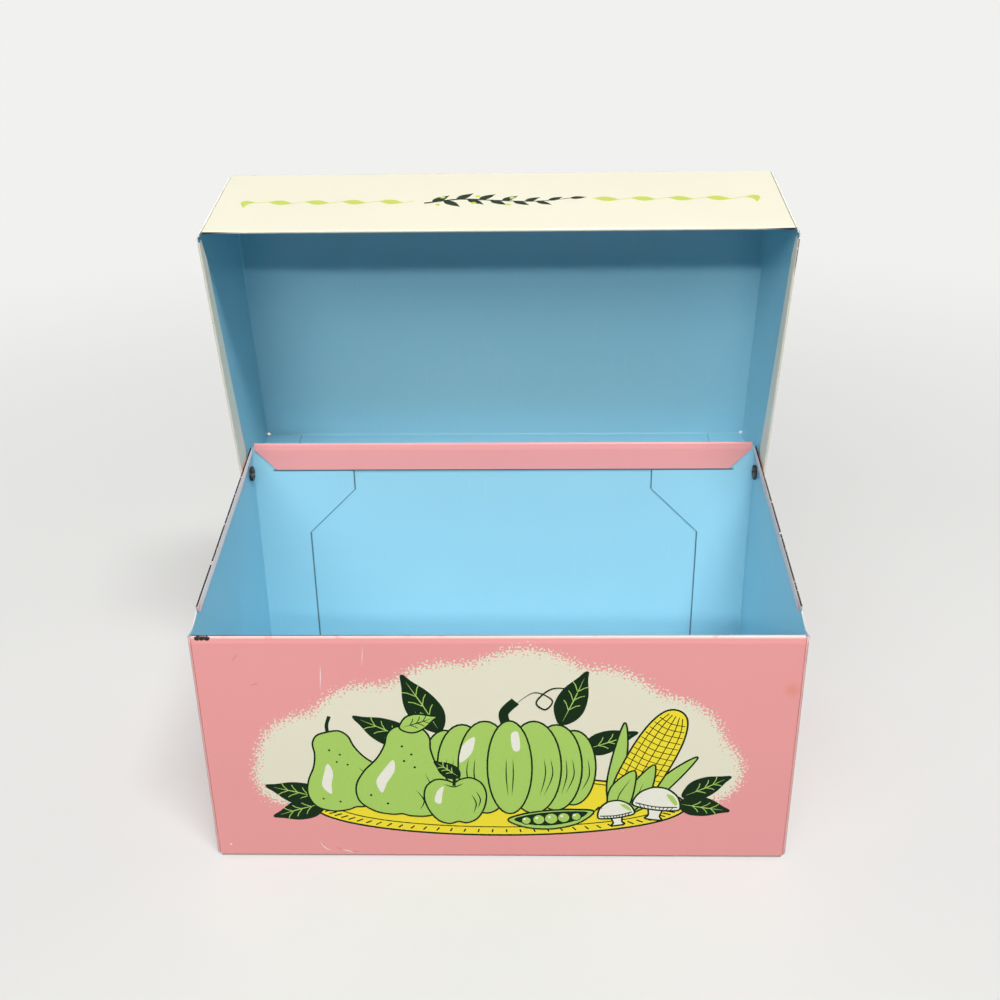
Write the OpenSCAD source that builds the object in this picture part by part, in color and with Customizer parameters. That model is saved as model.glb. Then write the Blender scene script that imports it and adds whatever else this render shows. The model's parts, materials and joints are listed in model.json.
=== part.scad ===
// Card box folded from tinplate. Two blanks, a body and a lid, are each bent into a tray whose
// corners lock with tabs held under hemmed rims. Two rivets through the side walls hinge the lid.
// Millimetres. The origin is the centre of the underside, +Y is the back, +Z is up, the lid is open.

/* [Body] */
// Outside width of the body
body_w = 134; // [110:1:170]
// Outside depth of the body
body_d = 75; // [60:1:110]
// Height of the front wall
front_h = 61; // [50:0.5:80]
// Height of the back wall's rim above the front wall's
back_rise = 13.5; // [9:0.5:20]
// Height of the side rim's front end above the front wall
side_rise = 2; // [1:0.5:4]
// Drop of the side rim's back end below the back wall
side_drop = 0.5; // [0:0.25:2]
// Length of the raw cut edge between the front wall and the side rim
notch_len = 9; // [6:0.5:14]
// Depth of the dip in that cut edge
notch_drop = 0.75; // [0.25:0.25:3]

/* [Lid] */
// Depth of the lid from its top to its rim
lid_h = 35.3; // [30:0.1:50]
// Overlap of the closed lid's rim over the front wall
rim_overlap = 1; // [0.5:0.5:6]
// Air between the body and what passes it on the lid
lid_clear = 0.25; // [0.2:0.05:0.8]
// Angle from closed to the open stop
open_angle = 80; // [70:1:95]
// Reach of its side rims past the front rim at the front corners
reach_front = 2; // [0:0.5:3]
// Climb of its side rims from there to the ears
rim_climb = 3.5; // [0:0.5:5]
// Corner radius of the ears behind the rivets
ear_r = 5; // [3:0.5:6]
// Gap at the stop between the lid's back hem and the back wall
stop_gap = 0.05; // [0.02:0.01:0.2]

/* [Sheet] */
// Thickness of the tinplate
sheet_t = 0.25; // [0.2:0.05:0.4]
// Outside radius of the bends
bend_r = 0.8; // [0.6:0.1:1.2]
// Air between two layers of a fold
fold_gap = 0.03; // [0.02:0.01:0.08]

/* [Hems and tabs] */
// Depth of the hems on the body's front and back walls
wall_hem = 7.5; // [5:0.5:10]
// Depth of the hems on the body's side walls
side_hem = 2.5; // [2:0.5:5]
// Depth of the hems on the lid's front and back walls
lid_hem = 7.5; // [5:0.5:9]
// Depth of the hems on the lid's side walls at the front, from where they deepen by rim_climb
lid_side_hem = 3.5; // [2.5:0.5:5]
// Length of flat tab between a rounded corner and the end of the front or back wall beside it
flap_gap = 0.2; // [0.1:0.1:0.8]
// Distance of the lid's side hems from its rounded corners
hem_inset = 1; // [0.5:0.1:2]
// Depth at which the slanted end of a hem begins
hem_shoulder = 1.8; // [1:0.1:2.5]
// Length that the slanted end of a hem takes off its lower edge
hem_mitre = 5.5; // [3:0.5:10]
// Length of the taper that keeps the body's side hem off the rivet
rivet_taper = 16; // [12:1:20]
// Width of the body's corner tabs
tab_w = 14; // [8:0.5:20]
// Width of the body's corner tabs under the hem
tab_top_w = 27; // [21:0.5:32]
// Distance of their wide end below the rim
tab_drop = 13.5; // [11:0.5:18]
// Width of the lid's corner tabs
lid_tab_w = 10; // [6:0.5:12]
// Width of the lid's corner tabs under the hem
lid_tab_top_w = 16; // [13:0.5:18]
// Distance of their wide end below the rim
lid_tab_drop = 10; // [9.5:0.5:12]

/* [Rivets] */
// Distance of the pivot from the back face
pivot_inset = 4.5; // [4.2:0.1:6]
// Distance of the pivot below the back wall's rim
pivot_drop = 7; // [6.5:0.5:9]
// Diameter of the rivet's shank
shank_d = 2.4; // [1.6:0.1:2.8]
// Radial clearance of the lid's hole on the shank
shank_clear = 0.05; // [0.02:0.01:0.08]
// Diameter of the rivet's outside head
head_d = 4.8; // [4:0.1:6]
// Height of the rivet's outside head
head_h = 1.1; // [0.8:0.1:1.6]
// Play between the head and the lid's side wall
head_play = 0.05; // [0.02:0.01:0.1]
// Diameter of the clinched end inside the body
clinch_d = 4; // [3.4:0.1:5]
// Thickness of the clinched end
clinch_t = 0.8; // [0.5:0.1:1.2]

/* [Hidden] */
$fn = 48;

// Share of the notch's length between two points of its curve
notch_step = 1 / 8;

// One layer of sheet with its air, and the outside radii of the two kinds of hem fold
layer = sheet_t + fold_gap;
plain_r = sheet_t + fold_gap;
tabbed_r = sheet_t + (sheet_t + 2 * fold_gap) / 2;

// The lid clears the body with the folded thickness of its own hems inside it
lid_w = body_w + 2 * (lid_clear + 2 * plain_r);
lid_d = body_d + 2 * (lid_clear + 2 * tabbed_r);
rim_z = front_h - rim_overlap;
closed_h = rim_z + lid_h;

back_h = front_h + back_rise;
pivot_y = body_d / 2 - pivot_inset;
pivot_z = back_h - pivot_drop;

// The lid's back wall ends where its folded edge meets the body's back wall at the open stop
stop_y = body_d / 2 + lid_clear + tabbed_r - pivot_y;
stop_reach = body_d / 2 + stop_gap + tabbed_r - pivot_y;
stop_z = pivot_z + (stop_reach - stop_y * cos(open_angle)) / sin(open_angle) - tabbed_r;
flange_h = closed_h - stop_z;

// The side rim climbs in a straight line from the notch to the back
rim_y0 = notch_len - body_d / 2;
rim_z0 = front_h + side_rise;
rim_angle = atan((back_h - side_drop - rim_z0) / (body_d / 2 - rim_y0));
rim_len = (body_d / 2 - layer - bend_r - rim_y0) / cos(rim_angle) - side_hem * tan(rim_angle);

// Extrudes an outline drawn in depth and height, with its outside face at x = 0
module sheet_outline(points) {
    rotate([90, 0, 90])
        translate([0, 0, -sheet_t])
            linear_extrude(sheet_t)
                polygon(points);
}

// Quarter bend between the floor and a wall, from y = -len / 2 to len / 2, outside face at x = 0
module floor_bend(len) {
    translate([-bend_r, len / 2, bend_r])
        rotate([90, 0, 0])
            linear_extrude(len)
                intersection() {
                    difference() {
                        circle(bend_r);
                        circle(bend_r - sheet_t);
                    }
                    translate([0, -bend_r])
                        square(bend_r);
                }
}

// Hem along +Y with its crest at z = 0 and the outside face at x = 0. fold_r is the outside radius
// of the fold, and each end's list gives its shoulder depth, the length of its slant and the depth
// that the hem has there.
module hem(len, fold_r, start, finish) {
    skirt = min(start[0], finish[0]);
    translate([0, len, 0])
        rotate([90, 0, 0])
            linear_extrude(len) {
                translate([-fold_r, -fold_r])
                    intersection() {
                        difference() {
                            circle(fold_r);
                            circle(fold_r - sheet_t);
                        }
                        translate([-fold_r, 0])
                            square([2 * fold_r, fold_r]);
                    }
                for (x = [-sheet_t, -2 * fold_r])
                    translate([x, -skirt])
                        square([sheet_t, skirt - fold_r]);
            }
    translate([sheet_t - 2 * fold_r, 0, 0])
        sheet_outline([
            [0, -fold_r], [0, -start[0]], [start[1], -start[2]],
            [len - finish[1], -finish[2]], [len, -finish[0]], [len, -fold_r]
        ]);
}

// Front or back wall of a tray, outside face at x = 0, hemmed along its rim
module hemmed_wall(w, h, depth) {
    half = w / 2 - bend_r - flap_gap;
    slant = [hem_shoulder, hem_mitre, depth];
    sheet_outline([[-half, bend_r], [half, bend_r], [half, h - tabbed_r], [-half, h - tabbed_r]]);
    floor_bend(2 * half);
    translate([0, -half, h])
        hem(2 * half, tabbed_r, slant, slant);
}

// Tab bent from a side wall round the corner at the local origin, into the layer behind the end wall.
// The side wall lies along x = 0 towards -Y, and the end wall's outside face is y = 0. The bend is as
// high as the side wall there. The tab's list gives its low width, its width under the hem and how far
// below the rim it is that wide.
module corner_tab(h, side_h, tab) {
    top = h - tabbed_r;
    wide_z = h - tab[2];
    translate([-bend_r, -layer - bend_r, bend_r])
        intersection() {
            difference() {
                cylinder(r = bend_r, h = side_h - bend_r);
                translate([0, 0, -bend_r])
                    cylinder(r = bend_r - sheet_t, h = side_h + bend_r);
            }
            cube([bend_r, bend_r, side_h]);
        }
    translate([0, -layer, 0])
        rotate([90, 0, 0])
            linear_extrude(sheet_t)
                polygon([
                    [-bend_r, bend_r], [-tab[0], bend_r], [-tab[0], wide_z - (tab[1] - tab[0])],
                    [-tab[1], wide_z], [-tab[1], top], [-bend_r, min(top, side_h)]
                ]);
}

// Tray without its side walls: floor, front wall and back wall
module tray(w, d, front, back, depth) {
    translate([bend_r - w / 2, bend_r - d / 2, 0])
        cube([w - 2 * bend_r, d - 2 * bend_r, sheet_t]);
    translate([0, -d / 2, 0])
        rotate([0, 0, -90])
            hemmed_wall(w, front, depth);
    translate([0, d / 2, 0])
        rotate([0, 0, 90])
            hemmed_wall(w, back, depth);
}

// Right side wall of a tray: its sheet, floor bend and the two tabs round the corners, where
// side_front and side_back are the heights of its own edge at the corners
module side_wall(w, d, front, back, outline, side_front, side_back, tab) {
    translate([w / 2, 0, 0]) {
        sheet_outline(outline);
        floor_bend(d - 2 * (layer + bend_r));
        translate([0, d / 2, 0])
            corner_tab(back, side_back, tab);
        mirror([0, 1, 0])
            translate([0, d / 2, 0])
                corner_tab(front, side_front, tab);
    }
}

// Bored hole for the rivets through both side walls
module rivet_bore(r) {
    translate([-lid_w / 2 - head_h, pivot_y, pivot_z])
        rotate([0, 90, 0])
            cylinder(r = r, h = lid_w + 2 * head_h);
}

// Side wall of the body with its climbing rim and the dipped cut edge in front of it
module body_side() {
    y0 = layer + bend_r - body_d / 2;
    y1 = body_d / 2 - layer - bend_r;
    fold_z0 = rim_z0 - plain_r / cos(rim_angle);
    fold_z1 = fold_z0 + (y1 - rim_y0) * tan(rim_angle);
    corner_h = front_h - tabbed_r;
    raw_z = rim_z0 - side_hem / 2;
    side_wall(body_w, body_d, front_h, back_h, concat(
        [[y0, bend_r], [y1, bend_r], [y1, fold_z1], [rim_y0, fold_z0]],
        [for (t = [0:notch_step:1])
            [rim_y0 + t * (y0 - rim_y0), raw_z + t * (corner_h - raw_z) - notch_drop * sin(180 * t)]]
    ), corner_h, fold_z1, [tab_w, tab_top_w, tab_drop]);
    translate([body_w / 2, rim_y0, rim_z0])
        rotate([rim_angle, 0, 0])
            hem(rim_len, plain_r, [side_hem / 2, side_hem / 2, side_hem],
                [side_hem / 2, rivet_taper, side_hem]);
}

module body_shell() {
    color("pink")
        difference() {
            union() {
                tray(body_w, body_d, front_h, back_h, wall_hem);
                body_side();
                mirror([1, 0, 0])
                    body_side();
            }
            rivet_bore(shank_d / 2);
        }
}

// Side wall of the lid, drawn as a tray with its rim up. The rim sinks towards the rounded ear, which
// stands behind the back wall's end.
module lid_side() {
    y0 = layer + bend_r - lid_d / 2;
    y1 = lid_d / 2 - layer - bend_r;
    ear_y = y1 - ear_r;
    fall = atan(rim_climb / (ear_y - y0));
    fold_front = lid_h + reach_front - plain_r / cos(fall);
    fold_rear = fold_front - rim_climb;
    ear_top = fold_rear - ear_r;
    side_wall(lid_w, lid_d, lid_h, flange_h, [
        [y0, bend_r], [y1, bend_r], [y1, ear_top], [ear_y, ear_top], [ear_y, fold_rear], [y0, fold_front]
    ], fold_front, flange_h - tabbed_r, [lid_tab_w, lid_tab_top_w, lid_tab_drop]);
    translate([lid_w / 2 - sheet_t, ear_y, ear_top])
        rotate([90, 0, 90])
            linear_extrude(sheet_t)
                intersection() {
                    circle(ear_r);
                    square(ear_r);
                }
    translate([lid_w / 2, y0 + hem_inset, lid_h + reach_front - hem_inset * tan(fall)])
        rotate([-fall, 0, 0])
            hem((ear_y - y0 - hem_inset) / cos(fall), plain_r, [hem_shoulder, hem_mitre, lid_side_hem],
                [hem_shoulder, hem_mitre, lid_side_hem + rim_climb]);
}

// The lid in its closed place, with its top panel as the floor of an upturned tray
module lid_closed() {
    difference() {
        translate([0, 0, closed_h])
            mirror([0, 0, 1]) {
                tray(lid_w, lid_d, lid_h, flange_h, lid_hem);
                lid_side();
                mirror([1, 0, 0])
                    lid_side();
            }
        rivet_bore(shank_d / 2 + shank_clear);
    }
}

module lid_shell() {
    color("ivory")
        translate([0, pivot_y, pivot_z])
            rotate([-open_angle, 0, 0])
                translate([0, -pivot_y, -pivot_z])
                    lid_closed();
}

// Tubular rivet along +X from the clinch on the body's inside face to the head outside the lid
module rivet() {
    grip = lid_w / 2 + head_play - (body_w / 2 - sheet_t);
    dome_r = (pow(head_d / 2, 2) + pow(head_h, 2)) / (2 * head_h);
    roll_r = clinch_t / 2;
    color("dimgray")
        translate([body_w / 2 - sheet_t, pivot_y, pivot_z])
            rotate([0, 90, 0]) {
                cylinder(d = shank_d, h = grip);
                translate([0, 0, grip])
                    rotate_extrude()
                        intersection() {
                            translate([0, head_h - dome_r])
                                circle(dome_r);
                            square([head_d / 2, head_h]);
                        }
                translate([0, 0, -clinch_t])
                    rotate_extrude()
                        difference() {
                            union() {
                                translate([clinch_d / 2 - roll_r, roll_r])
                                    circle(roll_r);
                                square([clinch_d / 2 - roll_r, clinch_t]);
                            }
                            circle(shank_d / 4);
                        }
            }
}

module right_rivet() {
    rivet();
}

module left_rivet() {
    mirror([1, 0, 0])
        rivet();
}

body_shell();
lid_shell();
left_rivet();
right_rivet();
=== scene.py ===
# %% [markdown]
# # A recipe card box of printed tinplate
#
# The real box is two blanks of tinplate, thin steel with a skin of tin. Each blank was printed and
# varnished flat, one side pink or cream and the other light blue, then cut, folded and riveted.
# Its look is therefore the look of one sheet: two coloured sides and a bare cut edge.
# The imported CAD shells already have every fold, so they stay, and this file dresses them.

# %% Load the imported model
import json
import math

import bmesh
import bpy
from mathutils import Matrix, Vector


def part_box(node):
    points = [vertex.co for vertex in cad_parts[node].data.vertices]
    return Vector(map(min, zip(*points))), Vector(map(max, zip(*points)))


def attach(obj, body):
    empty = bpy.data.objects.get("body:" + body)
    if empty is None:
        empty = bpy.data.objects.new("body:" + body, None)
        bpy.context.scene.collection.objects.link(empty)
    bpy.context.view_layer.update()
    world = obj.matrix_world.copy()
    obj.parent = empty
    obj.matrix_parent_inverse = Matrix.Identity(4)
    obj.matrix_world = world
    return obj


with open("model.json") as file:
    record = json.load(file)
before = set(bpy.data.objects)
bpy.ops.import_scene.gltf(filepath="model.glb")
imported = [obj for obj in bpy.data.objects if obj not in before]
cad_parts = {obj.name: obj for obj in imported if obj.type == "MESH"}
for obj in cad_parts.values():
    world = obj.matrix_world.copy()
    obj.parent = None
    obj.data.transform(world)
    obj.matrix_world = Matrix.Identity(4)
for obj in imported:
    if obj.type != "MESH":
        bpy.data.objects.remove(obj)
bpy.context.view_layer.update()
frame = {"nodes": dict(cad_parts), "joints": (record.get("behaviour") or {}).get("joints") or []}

MM = 0.001
body_shell = frame["nodes"]["body_shell"]
lid_shell = frame["nodes"]["lid_shell"]

# %% [markdown]
# ## Where the walls and the lid are
#
# The model rests with its lid open, but a lid is easiest to describe shut, as it was printed.
# One matrix about the hinge turns a point of the shut lid to where it lies open. Measuring the
# angle from the joint keeps it right; typing the turned numbers by hand would soon go wrong.
# The walls are measured on the shells too, in millimetres, as every mark is placed from a wall.

# %% Hinge
hinge = frame["joints"][0]
pivot = Vector(hinge["pos_m"])
open_turn = math.radians(hinge["range_deg"][1])
opening = (Matrix.Translation(pivot) @ Matrix.Rotation(-open_turn, 4, "X")
           @ Matrix.Translation(-pivot))

# %% Walls
body_low, body_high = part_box("body_shell")
closed_lid = [opening.inverted() @ v.co for v in lid_shell.data.vertices]
lid_low = Vector([min(p[i] for p in closed_lid) for i in range(3)])
lid_high = Vector([max(p[i] for p in closed_lid) for i in range(3)])

front_y, back_y, side_x = body_low.y / MM, body_high.y / MM, body_high.x / MM
front_rim, back_rim = 61.0, body_high.z / MM
lid_front, lid_side = lid_low.y / MM, lid_high.x / MM
print("lid shut, mm:", [round(v / MM, 2) for v in (*lid_low, *lid_high)])
print("body walls, mm:", [round(v, 3) for v in (front_y, back_y, side_x, front_rim, back_rim)])

# %% [markdown]
# ## Colours and nodes
#
# Colours are written as the sRGB hex values that an eye or a colour card gives, and one function
# turns them to the linear values that the shaders work in. Materials here are built from nodes, so
# one small function adds a node, sets it up and wires its sockets by their identifiers. It keeps
# each material readable as a list of what happens to the surface.

# %% Colour and node helpers
def linear(hex_code):
    """Linear RGBA of an sRGB colour such as #e09a9d."""
    channels = [int(hex_code[i:i + 2], 16) / 255 for i in (1, 3, 5)]
    return [c / 12.92 if c <= 0.04045 else ((c + 0.055) / 1.055) ** 2.4 for c in channels] + [1]


def output(node):
    """The output of a node that is in use."""
    return next(socket for socket in node.outputs if socket.enabled)


def add(tree, kind, inputs=None, **settings):
    """Adds a node with its settings, and fills its sockets with values, nodes or sockets."""
    node = tree.nodes.new("ShaderNode" + kind)
    for name, value in settings.items():
        setattr(node, name, value)
    sockets = {socket.identifier: socket for socket in node.inputs}
    for name, value in (inputs or {}).items():
        if isinstance(value, bpy.types.Node):
            value = output(value)
        if isinstance(value, bpy.types.NodeSocket):
            tree.links.new(value, sockets[name])
        else:
            sockets[name].default_value = value
    return node


def link(node, shader, socket):
    """Feeds a node's result to a socket of the shader."""
    node.id_data.links.new(output(node), shader.inputs[socket])


def empty_tree(block):
    """The node tree of a material or a world, with nothing in it yet."""
    block.use_nodes = True
    block.node_tree.nodes.clear()
    return block.node_tree


def new_material(name, **shader_values):
    """A material with a Principled shader, its node tree, and the point in millimetres."""
    material = bpy.data.materials.new(name)
    tree = empty_tree(material)
    shader = add(tree, "BsdfPrincipled", shader_values)
    add(tree, "OutputMaterial", {"Surface": shader})
    here = add(tree, "TexCoord").outputs["Object"]
    point = add(tree, "VectorMath", {"Vector": here, "Scale": 1 / MM}, operation="SCALE")
    return material, tree, shader, point


def into_scene(name, data, where=None):
    """An object with that data, in the scene and, where one is given, in its place."""
    item = bpy.data.objects.new(name, data)
    bpy.context.collection.objects.link(item)
    if where is not None:
        item.matrix_world = where
    return item


# %% [markdown]
# ## Sides of a folded sheet
#
# Ink went on one side of the blank and lacquer on the other, and folding carries each side round
# every bend. So walking over a shell from face to neighbouring face, and never across a sharp edge,
# finds exactly the faces that one side of the blank became. What is left over is the cut edge.
# Painting by position would need a rule for each fold; this walk needs two starting faces.

# %% Sort the faces of a shell
CREASE = math.radians(40)
FACING = 0.99  # how squarely the second starting face looks inward


def faces_by_side(shell, outward):
    """Side of the blank for each face: 0 printed, 1 lacquered, 2 cut edge."""
    mesh = shell.data
    corner = [tuple(round(c * 1e6) for c in v.co) for v in mesh.vertices]
    across = {}
    for face in mesh.polygons:
        for a, b in face.edge_keys:
            across.setdefault(frozenset((corner[a], corner[b])), []).append(face.index)

    def reach(face):
        return round(face.center.dot(outward), 5), face.area

    outmost = max(mesh.polygons, key=reach)
    inmost = max((f for f in mesh.polygons if f.normal.dot(outward) < -FACING), key=reach)
    side = {}
    for number, start in enumerate((outmost, inmost)):
        reached = [start.index]
        side[start.index] = number
        while reached:
            face = mesh.polygons[reached.pop()]
            for a, b in face.edge_keys:
                for other in across[frozenset((corner[a], corner[b]))]:
                    bend = face.normal.angle(mesh.polygons[other].normal, math.pi)
                    if other not in side and bend < CREASE:
                        side[other] = number
                        reached.append(other)
    return [side.get(f.index, 2) for f in mesh.polygons]


def dress(shell, outward, materials):
    """Gives a shell its three materials and says how much of it each one covers."""
    sides = faces_by_side(shell, outward)
    shell.data.materials.clear()
    for material in materials:
        shell.data.materials.append(material)
    areas = [0, 0, 0]
    for face, side in zip(shell.data.polygons, sides):
        face.material_index = side
        areas[side] += face.area / MM ** 2
    print(shell.name, "printed, lacquered, cut mm2:", [round(a) for a in areas])


# %% [markdown]
# ## Masks: where a mark lies
#
# Wear, grime and stains lie in bands along the rims and walls. A mask says where, 1 inside and 0
# outside. Painting masks by hand needs the sheet unrolled; here each one is a distance from a wall
# or a rim, turned to 0 or 1 by a soft step, and broken up by noise. Distances are in millimetres of
# the real box, so a line 0.2 mm wide is typed as such, and it stays sharp from near by.

# %% Masks
def ramp(value, start, end, first=0.0, last=1.0, course="SMOOTHSTEP"):
    """Goes from first to last while a value goes from start to end. Start may be above end."""
    if start > end:
        start, end, first, last = end, start, last, first
    return add(value.id_data, "MapRange", {"Value": value, "From Min": start, "From Max": end,
                                           "To Min": first, "To Max": last},
               interpolation_type=course)


def slope(value, start, end, first=0.0, last=1.0):
    """As ramp, but at an even rate."""
    return ramp(value, start, end, first, last, "LINEAR")


def times(*factors):
    """Product of several masks: where all of them are."""
    product = factors[0]
    for factor in factors[1:]:
        product = add(product.id_data, "Math", {"Value": product, "Value_001": factor},
                      operation="MULTIPLY")
    return product


def either(*masks):
    """The largest of several masks: where any of them is."""
    largest = masks[0]
    for mask in masks[1:]:
        largest = add(largest.id_data, "Math", {"Value": largest, "Value_001": mask},
                      operation="MAXIMUM")
    return largest


def along(point, direction, through):
    """Distance in mm of the point from a plane through a point, in the plane's direction."""
    tree, way = point.id_data, Vector(direction).normalized()
    reach = add(tree, "VectorMath", {"Vector": point, "Vector_001": way}, operation="DOT_PRODUCT")
    return add(tree, "Math", {"Value": reach, "Value_001": way.dot(Vector(through))},
               operation="SUBTRACT")


def from_middle(point):
    """Distance in mm from the plane that halves the box, to the left or the right alike."""
    place = add(point.id_data, "SeparateXYZ", {"Vector": point})
    return add(point.id_data, "Math", {"Value": place.outputs["X"]}, operation="ABSOLUTE")


def patches(point, size, share):
    """Ragged patches of a size in mm that cover about a share of the surface."""
    spots = add(point.id_data, "TexNoise", {"Vector": point, "Scale": 1 / size, "Detail": 5.0,
                                            "Roughness": 0.7})
    edge = 0.5 + 0.22 * (0.5 - share) * 2
    return ramp(spots, edge - 0.015, edge + 0.015)


def over(under, mask, colour):
    """A colour laid over another where the mask is 1. Either may be a hex code."""
    low, high = (linear(c) if isinstance(c, str) else c for c in (under, colour))
    return add(mask.id_data, "Mix", {"Factor_Float": mask, "A_Color": low, "B_Color": high},
               data_type="RGBA")


# %% [markdown]
# ## Varnished ink on tinplate
#
# Litho-printed tin is smooth steel under a few hundredths of a millimetre of ink and clear baked
# varnish. The varnish makes it glossy but never mirror sharp: an IOR near 1.45 and a roughness near
# 0.2. The gleam is the specular level: 0.5 for full varnish, less where years of hands and cards
# have dulled it. Thin sheet is never quite flat: a slow wave of some 40 mm bends its reflections.
# The colour itself wanders by a percent or two, and fingers and cards leave the gloss uneven.
# These layers are one function, because pink, cream and blue differ only in their inks.

# %% Varnished enamel
VARNISH_IOR = 1.45
SHEET_WAVE = 42.0  # mm from crest to crest of the waves left by folding
WAVE_DEPTH = 0.0004  # m, the height that the bump gives them
MOTTLE = 22.0  # mm, size of the clouds in the ink
HANDLING = 14.0  # mm, size of the patches that handling left in the gloss


def enamel(name, colour, shade, roughness, gleam=0.5):
    """Varnished ink. Returns the material, its tree, shader, point and mottled ink colour."""
    material, tree, shader, point = new_material(
        name, **{"IOR": VARNISH_IOR, "Specular IOR Level": gleam})
    clouds = add(tree, "TexNoise", {"Vector": point, "Scale": 1 / MOTTLE, "Detail": 1.0})
    handled = add(tree, "TexNoise", {"Vector": point, "Scale": 1 / HANDLING, "Detail": 3.0,
                                     "Roughness": 0.4})
    link(slope(handled, 0.3, 0.7, roughness - 0.02, roughness + 0.04), shader, "Roughness")
    waves = add(tree, "TexNoise", {"Vector": point, "Scale": 1 / SHEET_WAVE, "Detail": 1.0})
    wavy = add(tree, "Bump", {"Height": waves, "Distance": WAVE_DEPTH, "Strength": 1.0})
    link(wavy, shader, "Normal")
    return material, tree, shader, point, over(colour, clouds, shade)


def bow(shader, height, depth):
    """Bends the surface by a height from 0 to 1 that stands for a depth in mm, on its waves."""
    before = shader.inputs["Normal"].links[0].from_socket
    bent = add(shader.id_data, "Bump", {"Height": height, "Distance": depth * MM,
                                        "Strength": 1.0, "Normal": before})
    link(bent, shader, "Normal")


# %% [markdown]
# ## The raw edge between the rims
#
# Between the front wall and each side hem, the cut edge of the sheet dips, and the colour stops
# half a millimetre short of it, on both sides of the sheet, so that the white base coat shows. The
# edge's course is a straight line with half a wave hung under it. The pink, the blue and the cut
# edge all need this strip, so it is one function of the point.

# %% Raw edge
RAW_REAR, RAW_FRONT = (-28.5, 61.75), (-36.4, 60.6)  # mm, depth and height of its two ends
RAW_DIP = 0.75  # mm that it dips between them
RAW_STRIP = 0.5  # mm, width of the strip
# White of the base coat, also laid on the body's side hems as a painted highlight
BASE_COAT_AND_HIGHLIGHT = "#f4f5f2"


def raw_edge(point):
    """The strip without colour below the dipped cut edges of the body."""
    tree = point.id_data
    place = add(tree, "SeparateXYZ", {"Vector": point}).outputs
    share = slope(place["Y"], RAW_REAR[0], RAW_FRONT[0])
    straight = slope(share, 0.0, 1.0, RAW_REAR[1], RAW_FRONT[1])
    turn = add(tree, "Math", {"Value": share, "Value_001": math.pi}, operation="MULTIPLY")
    dip = add(tree, "Math", {"Value": turn}, operation="SINE")
    edge = add(tree, "Math", {"Value": dip, "Value_001": -RAW_DIP, "Value_002": straight},
               operation="MULTIPLY_ADD")
    below = add(tree, "Math", {"Value": edge, "Value_001": place["Z"]}, operation="SUBTRACT")
    return times(ramp(below, RAW_STRIP + 0.1, RAW_STRIP - 0.1),
                 ramp(place["Y"], RAW_REAR[0], RAW_REAR[0] - 0.1),
                 ramp(place["Y"], RAW_FRONT[0], RAW_FRONT[0] + 0.1),
                 ramp(from_middle(point), side_x - 0.8, side_x - 0.7))


# %% [markdown]
# ## Pink outside of the body, with its cream ground
#
# Behind the picture on the front lies a cloud of cream whose border was stippled with a sponge, so
# that it breaks up into crumbs over two or three millimetres. A sponged edge is a soft field cut
# by noise: the distance to a few overlapping discs, plus noise, tested against zero. Drawing each
# crumb would take thousands of faces and look no better.

# %% Pink enamel
INK_PINK, INK_PINK_SHADE, INK_CREAM = "#f9a8a5", "#f6a5a4", "#f3efd6"
LOBES = [(-42, 28, 12.5), (-28, 33, 15.5), (-11, 37, 17), (6, 39, 18.5), (22, 36, 16.5),
         (36, 31, 14.5), (46, 25, 9), (-18, 24, 14), (4, 24, 15), (26, 23, 13.5), (-48, 23, 7.5)]
LOBE_BLEND = 4.0  # mm over which two discs of the cloud flow together
SPONGE = 0.5  # mm, size of the crumbs
SPONGE_REACH = 9.0  # mm of border per unit of noise

pink, tree, shader, point, ink = enamel("pink_litho_enamel", INK_PINK, INK_PINK_SHADE, 0.2, 0.4)
flat = add(tree, "VectorMath", {"Vector": point, "Vector_001": (1, 0, 1)}, operation="MULTIPLY")
cloud = None
for x, z, radius in LOBES:
    gap = add(tree, "VectorMath", {"Vector": flat, "Vector_001": (x, 0, z)}, operation="DISTANCE")
    disc = add(tree, "Math", {"Value": radius, "Value_001": gap.outputs["Value"]},
               operation="SUBTRACT")
    cloud = disc if cloud is None else add(
        tree, "Math", {"Value": cloud, "Value_001": disc, "Value_002": LOBE_BLEND},
        operation="SMOOTH_MAX")
crumbs = add(tree, "TexNoise", {"Vector": point, "Scale": 1 / SPONGE, "Detail": 0.6})
torn = add(tree, "Math", {"Value": crumbs, "Value_001": SPONGE_REACH,
                          "Value_002": -0.5 * SPONGE_REACH}, operation="MULTIPLY_ADD")
field = add(tree, "Math", {"Value": cloud, "Value_001": torn}, operation="ADD")
in_front = along(point, (0, -1, 0), (0, front_y, 0))
ground = times(ramp(field, -0.1, 0.1), ramp(in_front, -0.06, -0.03))
ink = over(ink, ground, INK_CREAM)
print("cream ground of", len(LOBES), "discs, crumbs of", SPONGE, "mm")

# %% [markdown]
# ## Wear, painted highlights and painted shade along the edges
#
# The crest of the front hem is rubbed pale, and the same pale pink is laid along it and along the
# corner bends of the front as a painted highlight. Just behind that crest runs a dark line, darkest
# at the left. The side rims are worn through where the lid slides past, and their inner side is
# made paler as a painted highlight. Along the foot, dark patches are painted shade where the box
# meets the floor. Each is a band along an edge of the box, broken up by noise, because a
# hand-painted map would have to be redrawn whenever a size changes.

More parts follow.
